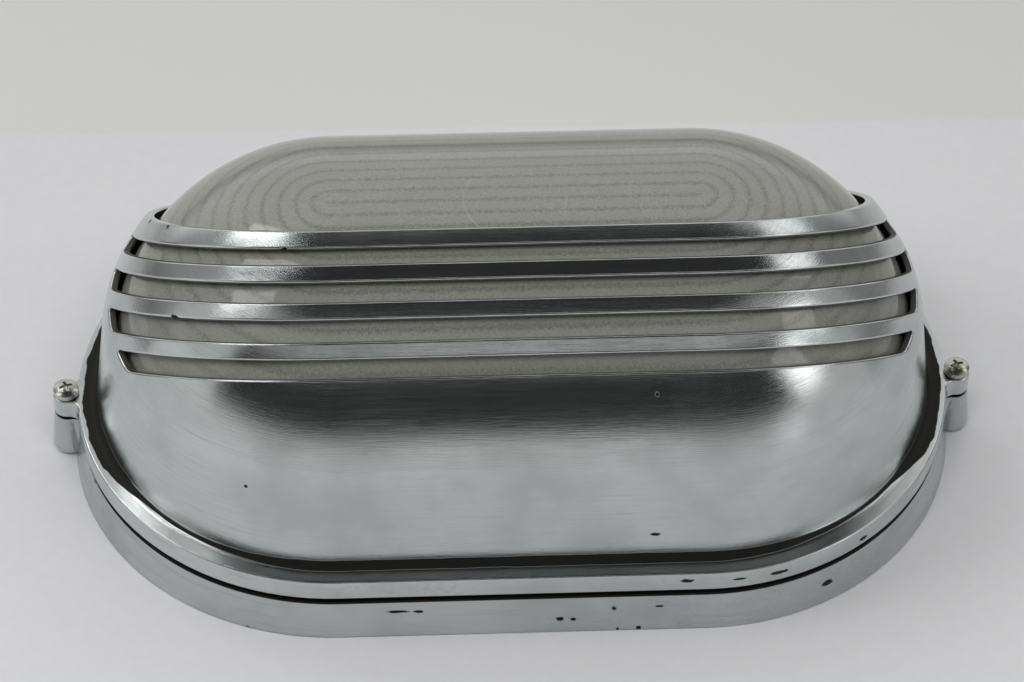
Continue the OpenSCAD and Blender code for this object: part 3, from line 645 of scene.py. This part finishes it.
def cover_skin_and_gap_shade(g, place):
    """Dark as-cast skin where the hood meets the flange, with the ragged border that polishing leaves; also
    painted shade, near black, on the flange's underside edge over the gap to the base.
    """
    _, y, z, beyond, radius = g.from_axis(place)
    height = g.math("SUBTRACT", z, FLANGE_Z * MM)
    by_lug = g.mapped(g.math("ABSOLUTE", y), 0.050, 0.030)
    by_front = g.mapped(beyond, 0.050, 0.005)
    wander = g.product(g.math("SUBTRACT", g.noise(place, 110.0, 4.0), 0.5), 0.0040)
    wander = g.product(wander, g.mapped(by_lug, 0.0, 1.0, 0.14, 0.8))
    width = g.math("ADD", g.product(by_lug, 0.0036), g.product(by_front, 0.0007))
    edge = g.math("SUBTRACT", g.math("ADD", radius, wander), width)
    on_flange = g.mapped(edge, (HOOD_R + 0.95) * MM, (HOOD_R + 0.65) * MM)
    reach = g.math("ADD", g.product(by_lug, 0.0012), g.product(by_front, 0.0015))
    low = g.mapped(g.math("SUBTRACT", g.math("ADD", height, wander), reach), 0.0019, 0.0013)
    high = g.mapped(height, -0.0015, -0.0005)
    # painted shade: the flange's underside edge goes near black, for the narrow gap above the base
    underside_shade = g.mapped(z, (COVER_Z + 0.45) * MM, (COVER_Z + 0.2) * MM)
    return g.math("MAXIMUM", g.product(on_flange, low, high), underside_shade)


def base_gap_shade(g, place):
    """Painted shade on the base's top, in the open gap outside the gasket under the flange; the lugs' tops
    are left out.
    """
    x, _, z, _, radius = g.from_axis(place)
    above = g.mapped(z, (BASE_TOP - 0.55) * MM, (BASE_TOP - 0.4) * MM)
    below = g.mapped(z, (BASE_TOP + 0.15) * MM, (BASE_TOP + 0.05) * MM)
    in_gap = g.mapped(radius, (GASKET_R - 0.9) * MM, (GASKET_R - 0.5) * MM)
    off_lug = g.mapped(g.math("ABSOLUTE", x), (SCREW_X - 5) * MM, (SCREW_X - 4.5) * MM, 1.0, 0.0)
    return g.product(above, below, in_gap, off_lug)


def plain_material(name, tone, metallic, roughness, grain, grain_depth, contrast=0.12, coat=0.0):
    """A quiet finish with a little grain: colour, roughness and bump from noise."""
    g = Graph(name)
    place = g.node("TexCoord").outputs["Object"]
    grains = g.noise(place, grain, 4.0, 0.6)
    cloud = g.noise(place, grain * 0.08)
    shader = g.node("BsdfPrincipled", {
        "Base Color": g.mix(g.mapped(cloud, 0.35, 0.7), colour(*tone), darker(tone, 1 - contrast)),
        "Roughness": g.mapped(grains, 0.3, 0.7, roughness * 0.9, roughness * 1.15, False),
        "Normal": g.bump(grains, grain_depth, 0.5), "Metallic": metallic, "Coat Weight": coat,
    })
    return g.surface(shader.outputs[0])


def frosted_glass(name):
    """Sandy frosted glass with a clear gloss: grey-beige, with a soft darker line along each rib as painted
    shade of the ribs inside.
    """
    g = Graph(name)
    place = g.node("TexCoord").outputs["Object"]
    x, y, _, _, radius = g.from_axis(place)
    sand = g.noise(place, 1500.0, 2.0, 0.7)
    cloud = g.noise(place, 45.0)
    # painted shade: a soft darker line over each rib, for the inner ribs seen through the frosted glass; it
    # also feeds the rib bump
    ragged = g.product(g.math("SUBTRACT", g.noise(place, 800.0), 0.5), 0.0026)
    phase = g.math("FRACT", g.math("DIVIDE", g.math("ADD", radius, ragged), RIB_PITCH * MM))
    line = g.mapped(g.math("ABSOLUTE", g.math("SUBTRACT", phase, 0.5)), 0.26, 0.5)
    fading = g.mapped(radius, 0.040, 0.062, 1.0, 0.55)
    rib = g.product(line, fading, g.mapped(sand, 0.42, 0.62, 0.55, 1.0))
    shade = g.mix(g.mapped(sand, 0.35, 0.65), colour(0.285, 0.287, 0.259), colour(0.222, 0.225, 0.201))
    shade = g.mix(g.mapped(cloud, 0.3, 0.7, 0.0, 0.5), shade, colour(0.24, 0.243, 0.217))
    shade = g.mix(g.product(rib, 0.5), shade, colour(0.105, 0.108, 0.094))
    # a thin ring on the crown, left by the mould
    from_middle = g.math("SQRT", g.math("ADD", g.product(x, x), g.product(y, y)))
    off_ring = g.math("ABSOLUTE", g.math("SUBTRACT", from_middle, MOULD_RING_R * MM))
    ring = g.product(g.mapped(off_ring, 0.00022, 0.00008), g.mapped(g.noise(place, 60.0), 0.42, 0.6))
    shade = g.mix(g.product(ring, 0.55), shade, colour(0.42, 0.42, 0.37))
    height = g.math("ADD", g.product(sand, 0.25), g.product(rib, -0.6))
    shader = g.node("BsdfPrincipled", {
        "Base Color": shade, "Roughness": 0.75, "Normal": g.bump(height, 0.0005, 0.5),
        "Specular IOR Level": 0.2, "Coat Weight": 1.0, "Coat Roughness": 0.06, "Coat IOR": 1.5,
    })
    return g.surface(shader.outputs[0])


def table_material(name):
    """Pale table, with the faint step to the backdrop paper behind the light."""
    g = Graph(name)
    place = g.node("TexCoord").outputs["Object"]
    split = g.node("SeparateXYZ", {0: place})
    along_line = g.math("ADD", split.outputs[1], g.product(split.outputs[0], BACKDROP_SLOPE))
    step = g.mapped(along_line, BACKDROP_Y - 0.0015, BACKDROP_Y + 0.0015)
    grain = g.mapped(g.noise(place, 220.0), 0.3, 0.7)
    near = g.mix(grain, colour(0.70, 0.70, 0.712), colour(0.685, 0.685, 0.697))
    base = g.mix(step, near, colour(0.665, 0.665, 0.652))
    shader = g.node("BsdfPrincipled", {"Base Color": base, "Roughness": 0.9, "Specular IOR Level": 0.1})
    return g.surface(shader.outputs[0])


# Casting pits and chipped spots: place, half length and half height, in millimetres
COVER_SPOTS = [
    ((50.5, -82.2, 21.2), 2.2, 0.8), ((67, -81.6, 20.7), 2.0, 0.5), ((79.7, -79, 20.4), 3.0, 0.8),
    ((107, -65.2, 19.4), 1.6, 0.9), ((40.8, -74.9, 35.2), 1.5, 0.6), ((-84.5, -67.4, 53.9), 0.6, 0.6),
    ((40.8, -59.8, 82.7), 0.6, 0.9), ((-104.7, -28.2, 87.5), 2.2, 0.9), ((-71, -19.2, 107), 1.0, 1.6),
]
BASE_SPOTS = [
    ((11.5, -83.1, 5.5), 1.3, 0.8), ((15.5, -83.1, 5.2), 1.0, 0.6), ((29.5, -83.9, 0.9), 0.5, 0.5),
    ((36, -83.8, 1), 0.8, 0.9), ((42.5, -82.4, 9.5), 1.2, 0.4), ((95.8, -73, 7.5), 2.0, 1.0),
    ((-39, -82.3, 10), 3.2, 0.5), ((-32.5, -82.3, 9.8), 1.6, 0.5),
]
COVER_METAL = polished_aluminium(
    "cover_polished", (0.61, 0.635, 0.63), (8.0, 360.0, 1.0), 0.11, COVER_SPOTS, cover_skin_and_gap_shade, True)
BASE_METAL = polished_aluminium(
    "base_polished", (0.55, 0.57, 0.57), (35.0, 35.0, 500.0), 0.18, BASE_SPOTS, base_gap_shade, False)
AS_CAST = plain_material("as_cast_skin", (0.075, 0.073, 0.066), 0.5, 0.55, 700.0, 0.0004)
FROSTED = frosted_glass("glass_frosted")
FINISHES = {
    "gasket_rubber": plain_material("gasket_black", (0.018, 0.018, 0.018), 0.0, 0.65, 900.0, 0.0002),
    "screw_steel": plain_material("screw_zinc", (0.56, 0.56, 0.51), 1.0, 0.24, 700.0, 0.00008),
    "fibre": plain_material("washer_fibre", (0.11, 0.045, 0.03), 0.0, 0.8, 1500.0, 0.0002),
    "bracket_steel": plain_material("bracket_zinc", (0.62, 0.63, 0.62), 1.0, 0.34, 500.0, 0.00006),
    "porcelain": plain_material("porcelain_glaze", (0.80, 0.79, 0.75), 0.0, 0.30, 260.0, 0.0001, 0.05, 0.6),
    "brass": plain_material("brass_bright", (0.78, 0.60, 0.28), 1.0, 0.26, 600.0, 0.00005),
    "lamp_glass": plain_material("lamp_pearl", (0.82, 0.82, 0.78), 0.0, 0.32, 1200.0, 0.00003, 0.04, 0.4),
    "cap_metal": plain_material("cap_aluminium", (0.74, 0.74, 0.72), 1.0, 0.28, 600.0, 0.00004),
    "tip_black": plain_material("tip_glass", (0.02, 0.02, 0.025), 0.0, 0.22, 500.0, 0.00004),
    "wire_brown": plain_material("sleeve_brown", (0.13, 0.055, 0.025), 0.0, 0.6, 1600.0, 0.0001),
    "wire_blue": plain_material("sleeve_blue", (0.03, 0.09, 0.28), 0.0, 0.6, 1600.0, 0.0001),
    "grommet_rubber": plain_material("grommet_black", (0.02, 0.02, 0.02), 0.0, 0.7, 900.0, 0.0002),
    "base_casting": BASE_METAL,
    "cover_casting": COVER_METAL,
    "frosted_glass": FROSTED,
}


# ---------------------------------------------------------------- cover casting
def arc_points(centre, radius, start, end, steps):
    """Points along an arc, and the directions from its centre to them."""
    angle = np.linspace(start, end, steps)
    way = np.stack([np.cos(angle), np.sin(angle)], 1)
    return np.asarray(centre) + radius * way, way


def lug_outline():
    """The flange's edge with both lugs, counter-clockwise: points, outward directions, and 1 on a boss."""
    to_casting, to_boss = FLANGE_R + LUG_FILLET, LUG_R + LUG_FILLET
    x = (to_casting**2 - to_boss**2 + LUG_REACH**2) / (2 * LUG_REACH)
    y = math.sqrt(to_casting**2 - x**2)
    on_casting, on_boss = math.atan2(y, x), math.atan2(y, x - LUG_REACH)
    # from the front of one end to its back, with the end's middle at the origin
    pieces = [
        (*arc_points((0, 0), FLANGE_R, -math.pi / 2, -on_casting, 28), 1, 0, 0),
        (*arc_points((x, -y), LUG_FILLET, math.pi - on_casting, math.pi - on_boss, 8), -1, 0, 1),
        (*arc_points((LUG_REACH, 0), LUG_R, -on_boss, on_boss, 30), 1, 1, 1),
        (*arc_points((x, y), LUG_FILLET, on_boss - math.pi, on_casting - math.pi, 8), -1, 1, 0),
        (*arc_points((0, 0), FLANGE_R, on_casting, math.pi / 2, 28), 1, 0, 0),
    ]
    points = np.concatenate([p for p, _, _, _, _ in pieces])
    ways = np.concatenate([side * w for _, w, side, _, _ in pieces])
    boss = np.concatenate([np.linspace(start, end, len(p)) for p, _, _, start, end in pieces])
    middle = np.array([HALF, 0])
    return (np.concatenate([points + middle, -(points + middle)]),
            np.concatenate([ways, -ways]), np.concatenate([boss, boss]))


def at_height(flat, z):
    """Lifts 2-D points to a height."""
    return np.column_stack([flat, np.broadcast_to(z, len(flat))])


def plate(shape, outer, holes, z, up):
    """A flat face between a closed outline and the holes in it."""
    loops = [outer] + holes
    flat, triangles = triangulated(np.concatenate(loops), loop_edges(loops), outer, holes)
    u, radius = from_above(flat[:, 0], flat[:, 1])
    lengths = np.stack([np.sign(flat[:, 0]) * u, -radius], 1)
    rows = shape.add(at_height(flat, z), (0, 0, 1 if up else -1), lengths)
    triangles = rows[triangles]
    corner = np.concatenate(shape.points)[triangles]
    turned = (np.cross(corner[:, 1] - corner[:, 0], corner[:, 2] - corner[:, 0])[:, 2] < 0) == up
    triangles[turned] = triangles[turned][:, ::-1]
    shape.faces += triangles.tolist()


def around_at(radius):
    """The outline at a distance from its axis, seen from above."""
    centre, dx, dy = outline(outline_stations(ROUND_STEP))
    return np.stack([centre + dx * radius, dy * radius], 1)


def make_flange(polished, cast, cove_t):
    """Flange and lugs: cove out of the hood, flat top, rounded edge, and the glass's pocket beneath."""
    flat, ways, boss = lug_outline()
    rows, normals = [], []
    for angle in np.linspace(0, math.pi, 12):
        up = angle < math.pi / 2
        radius = np.full(len(boss), FLANGE_EDGE) if up else 0.5 + boss
        middle = FLANGE_Z - FLANGE_EDGE if up else COVER_Z + radius
        drawn_in = (radius * (1 - math.sin(angle)))[:, None]
        rows.append(at_height(flat - drawn_in * ways, middle + math.cos(angle) * radius))
        normals.append(at_height(ways * math.sin(angle), math.cos(angle)))
    strip(polished, np.stack(rows), np.stack(normals), True, 9.0)

    holes = [arc_points((side * SCREW_X, 0), HOLE_R, 0, 2 * math.pi, 25)[0][:-1] for side in (-1, 1)]
    cove_edge = HOOD_R + COVE_R
    plate(polished, rows[0][:, :2], [around_at(cove_edge)] + holes, FLANGE_Z, True)
    plate(cast, rows[-1][:, :2], [around_at(POCKET_R + POCKET_EDGE)] + holes, COVER_Z, False)
    for hole in holes:
        centre = np.array([hole[:, 0].mean(), 0])
        inward = at_height((centre - hole) / HOLE_R, 0.0)
        wall = np.stack([at_height(hole, FLANGE_Z), at_height(hole, COVER_Z)])
        strip(cast, wall, np.stack([inward, inward]), True, 8.0)

    hood_foot = section(cove_t)[:2]
    cove = [hood_foot, (HOOD_R, FLANGE_Z), (cove_edge, FLANGE_Z)]
    profile, profile_n = profile_with_rounds(cove, [0, COVE_R, 0], 8)
    swept(polished, profile, -profile_n, outline_stations(ROUND_STEP))
    inner_foot = section(INSIDE_FOOT, HOOD_WALL)[:2]
    pocket = [(POCKET_R + POCKET_EDGE, COVER_Z), (POCKET_R, COVER_Z), (POCKET_R, LEDGE_Z),
              (inner_foot[0], LEDGE_Z), inner_foot]
    profile, profile_n = profile_with_rounds(pocket, [0, 0.4, 0.3, 0.3, 0])
    swept(cast, profile, -profile_n, outline_stations(ROUND_STEP))


def make_cover():
    """The cast cover: louvred hood with polished round edges, flange with its cove, and two lugs."""
    polished, cast = Shape(), Shape()
    cove_t = COVE_R * math.tan((math.pi / 2 - DRAFT) / 2)    # where the cove leaves the hood's side

    # rim, walked from the back round the front and back again
    u = np.linspace(-AROUND / 2, AROUND / 2, 640)
    outer_t, inner_rim_t = solve(rim_height, RIM_H, u, 0), solve(rim_height, RIM_H, u, HOOD_WALL)
    outer, outer_n = hood(u, outer_t)
    inner, inner_n = hood(u, inner_rim_t, HOOD_WALL)
    wall_n = wall_normals(outer, inner, False, lambda p: rim_height(p).mean())
    first, last = edge_strip(polished, polished, outer, inner, outer_n, inner_n, wall_n, False)
    side = np.where(np.arange(len(u)) < len(u) / 2, -1, 1)
    rim_out, rim_in = np.stack(locate(first, side), 1), np.stack(locate(last, side), 1)
    rim_out[[0, -1], 0] = rim_in[[0, -1], 0] = -AROUND / 2, AROUND / 2

    holes_out, holes_in = [], []
    for low, high in SLOTS:
        long_side, end = SLOT_POINTS
        edges = [slot_loop(low, high, inset) for inset in (0, HOOD_WALL)]
        corner_rows = [0, long_side, long_side + end, 2 * long_side + end]
        edge, inside_edge = round_corners(edges, corner_rows, SLOT_CORNER)
        side = np.sign(edge[:, 0] + 1e-9)
        edge_ut, inside_ut = locate(edge, side), locate(inside_edge, side)
        outer, outer_n = hood(*edge_ut)
        inner, inner_n = hood(*inside_ut, HOOD_WALL)
        middle = (low + high) / 2
        wall_n = wall_normals(outer, inner, True, lambda p: -np.abs(slot_height(p) - middle).mean())
        first, last = edge_strip(polished, cast, outer, inner, outer_n, inner_n, wall_n, True)
        holes_out.append(np.stack(locate(first, side), 1))
        holes_in.append(np.stack(locate(last, side), 1))

    for shape, rim, holes, low_t, inset in (
        (polished, rim_out, holes_out, cove_t, 0),
        (cast, rim_in, holes_in, INSIDE_FOOT, HOOD_WALL),
    ):
        bottom_u = np.linspace(AROUND / 2, -AROUND / 2, 420)
        bottom = np.stack([bottom_u, np.full(len(bottom_u), low_t)], 1)
        seam = np.linspace(low_t, rim[0, 1], 6)[1:-1]
        right = np.stack([np.full(len(seam), AROUND / 2), seam[::-1]], 1)
        left = np.stack([np.full(len(seam), -AROUND / 2), seam], 1)
        fill(shape, np.concatenate([rim, right, bottom, left]), holes, inset, inset > 0)
    make_flange(polished, cast, cove_t)
    polished.finish("cover_hood_casting", COVER_METAL, "cover", "cover_casting", "cover_casting")
    cast.finish("cover_hood_inside", AS_CAST, "cover", "cover_casting", "cover_casting")


# ---------------------------------------------------------------- glass dome
def make_glass():
    """The glass: smooth dome and foot outside, waves of ribs inside."""
    full = SIDE_LEN + SHOULDER_LEN + CROWN_LEN
    t = np.concatenate([np.linspace(-3, SIDE_LEN, 8)[:-1], np.linspace(SIDE_LEN, full, 60)])
    stations = outline_stations(ROUND_STEP)
    foot_z, foot_top = corners("glass_dome")[0][2], LEDGE_Z - 0.8

    def dome(inset, rib_depth=0.0):
        """The dome's section moved in by inset, with ribs of this depth, and its normals."""
        radius, height, tilt = section(t, inset)
        wave = 0.5 - 0.5 * np.cos(2 * math.pi * radius / RIB_PITCH)
        depth = rib_depth * wave * np.clip((RIB_EDGE_R - radius) / 8, 0, 1)
        profile = np.stack([radius - depth * np.cos(tilt), height - depth * np.sin(tilt)], 1)
        return profile, np.stack([np.cos(tilt), np.sin(tilt)], 1)

    glass = Shape()
    outer, outer_n = dome(GLASS_INSET)
    inner, inner_n = dome(GLASS_INSET + GLASS_WALL, RIB_DEPTH)
    swept(glass, outer, outer_n, stations)
    swept(glass, inner, -inner_n, stations)
    path = [outer[0], (outer[0][0] + 0.4, foot_top), (FOOT_R, foot_top), (FOOT_R, foot_z),
            (inner[0][0], foot_z), inner[0]]
    foot, foot_n = profile_with_rounds(path, [0, 0.4, 0.4, 0.4, 0.2, 0])
    swept(glass, foot, -foot_n, stations)
    glass.finish("dome_frosted_glass", FROSTED, "cover", "glass_dome", "frosted_glass")


make_cover()
make_glass()

# ---------------------------------------------------------------- carried-over CAD nodes
slot_of = {part["node"]: part["material_slot"] for part in frame["record"]["subparts"]}
for name, node in nodes.items():
    node.data.materials.clear()
    node.data.materials.append(FINISHES[slot_of[name]])

# ---------------------------------------------------------------- table, camera and light
TABLE = 0.6    # half of the table's side
table_mesh = bpy.data.meshes.new("table")
table_corners = [(-TABLE, -TABLE, 0), (TABLE, -TABLE, 0), (TABLE, TABLE, 0), (-TABLE, TABLE, 0)]
table_mesh.from_pydata(table_corners, [], [(0, 1, 2, 3)])
table_mesh.materials.append(table_material("table_paper"))
table = bpy.data.objects.new("table", table_mesh)
bpy.context.scene.collection.objects.link(table)


def make_camera():
    """The camera looks down on the front from about 47 degrees, a little to the left of square."""
    data = bpy.data.cameras.new("camera")
    data.sensor_width = 36
    data.lens = 158.2
    data.clip_end = 20
    camera = bpy.data.objects.new("camera", data)
    bpy.context.scene.collection.objects.link(camera)
    down, roll, yaw = (math.radians(a) for a in (47.017, 0.691, 2.850))
    looks = Matrix.Rotation(-yaw, 4, "Z") @ Matrix.Rotation(math.pi / 2 - down, 4, "X")
    aim = Matrix.Translation((-0.00038, 0.02976, 1.46121))    # sideways, up and back in the camera's axes
    camera.matrix_world = looks @ aim @ Matrix.Rotation(roll, 4, "Z")
    bpy.context.scene.camera = camera


# What lights the table, seen from it. Each patch is its azimuth from the front and its elevation,
# half its width and height, its turn and its soft border, all in degrees, and its strength.
PATCHES = [
    (0, -10, 360, 20, 0, 3, 0.20),       # horizon all round
    (-28, -10, 72, 20, -3, 3, 0.40),     # the bright table's far part and what stands beyond it
    (62, -10, 24, 20, 0, 8, 0.36),
    (-82, 29, 18, 19, 0, 5, 0.52),       # white wall at the left
    (-116, 29, 12, 19, 0, 5, 0.30),
    (66, 29, 8, 19, 0, 5, 0.46),         # white wall at the right
    (87, 29, 11, 19, 0, 5, 0.38),
    (125, 20, 24, 10, 0, 5, 0.20),       # darker walls behind them
    (-142, 20, 12, 10, 0, 5, 0.20),
    (-1, 52, 44, 8, 0, 3, 0.46),     # long pale strip over the camera
    (180, 30, 40, 30, 0, 10, 0.70),      # backdrop
    (54, 24, 7, 11, 12, 1.5, 1.9),       # soft boxes at the right
    (74, 36, 4, 9, 45, 1.5, 1.9),
    (104, 45, 5.5, 10, 15, 1.5, 1.5),
    (126, 43, 5, 10, 0, 1.5, 1.6),
    (-86, 52, 3.6, 11, -25, 1.5, 2.8),     # soft boxes at the left
    (-117, 60, 2.2, 14, 0, 1.5, 3.2),
    (-138, 50, 4.5, 11, 10, 1.5, 3.5),
]


ROOM_LIGHT = 0.026                       # what the dim room adds everywhere
BACKGROUND = (0.57, 0.57, 0.56, 1.0)     # what the camera sees beyond the table


def make_world():
    """A dim room with soft boxes round the table."""
    world = bpy.data.worlds.new("studio")
    world.use_nodes = True
    tree = world.node_tree
    tree.nodes.clear()
    bpy.context.scene.world = world

    def node(kind, inputs=None, **settings):
        return add_node(tree, kind, inputs, **settings)

    def calc(operation, a, b=0.0):
        return node("Math", {0: a, 1: b}, operation=operation).outputs[0]

    def band(value, half, soft):
        """1 within half of 0, fading out over soft; all angles in radians."""
        return node("MapRange", {
            "Value": calc("ABSOLUTE", value), "From Min": half + soft / 2, "From Max": half - soft / 2,
        }, interpolation_type="SMOOTHSTEP").outputs[0]

    split = node("SeparateXYZ", {0: node("TexCoord").outputs["Generated"]})
    x, y, z = (split.outputs[k] for k in range(3))
    azimuth = calc("ARCTAN2", x, calc("MULTIPLY", y, -1.0))
    elevation = calc("ARCSINE", z)
    total = ROOM_LIGHT
    for *angles, strength in PATCHES:
        at_az, at_el, half_w, half_h, turn, soft = (math.radians(v) for v in angles)
        off = calc("SUBTRACT", azimuth, at_az)
        off = node("Math", {0: off, 1: math.pi, 2: -math.pi}, operation="WRAP").outputs[0]
        off = calc("MULTIPLY", off, math.cos(at_el))
        up = calc("SUBTRACT", elevation, at_el)
        cosine, sine = math.cos(turn), math.sin(turn)
        across = calc("ADD", calc("MULTIPLY", off, cosine), calc("MULTIPLY", up, sine))
        upward = calc("SUBTRACT", calc("MULTIPLY", up, cosine), calc("MULTIPLY", off, sine))
        in_patch = calc("MULTIPLY", band(across, half_w, soft), band(upward, half_h, soft))
        total = calc("ADD", calc("MULTIPLY", in_patch, strength), total)
    light = node("Background", {"Color": (1.0, 1.0, 1.0, 1.0), "Strength": total})
    seen = node("Background", {"Color": BACKGROUND, "Strength": 1.0})
    camera_ray = node("LightPath").outputs["Is Camera Ray"]
    mixed = node("MixShader", {0: camera_ray, 1: light.outputs[0], 2: seen.outputs[0]})
    out = node("OutputWorld")
    tree.links.new(mixed.outputs[0], out.inputs[0])


def make_fill(name, at, aim, size, watts):
    """A soft lamp that lights the table but isn't mirrored in the metal."""
    data = bpy.data.lights.new(name, "AREA")
    data.shape = "RECTANGLE"
    data.size, data.size_y = size
    data.energy = watts
    lamp = bpy.data.objects.new(name, data)
    bpy.context.scene.collection.objects.link(lamp)
    way = Vector(aim) - Vector(at)
    lamp.matrix_world = Matrix.Translation(at) @ way.to_track_quat("-Z", "Y").to_matrix().to_4x4()
    lamp.visible_glossy = False


make_camera()
make_world()
make_fill("overhead_fill", (0.00, -0.52, 1.20), (0.0, -0.10, 0.0), (0.9, 0.5), 6.3)
make_fill("left_key", (-0.85, -0.05, 0.75), (0.0, 0.0, 0.0), (0.5, 0.5), 2.2)
bpy.context.scene.view_settings.view_transform = "Standard"
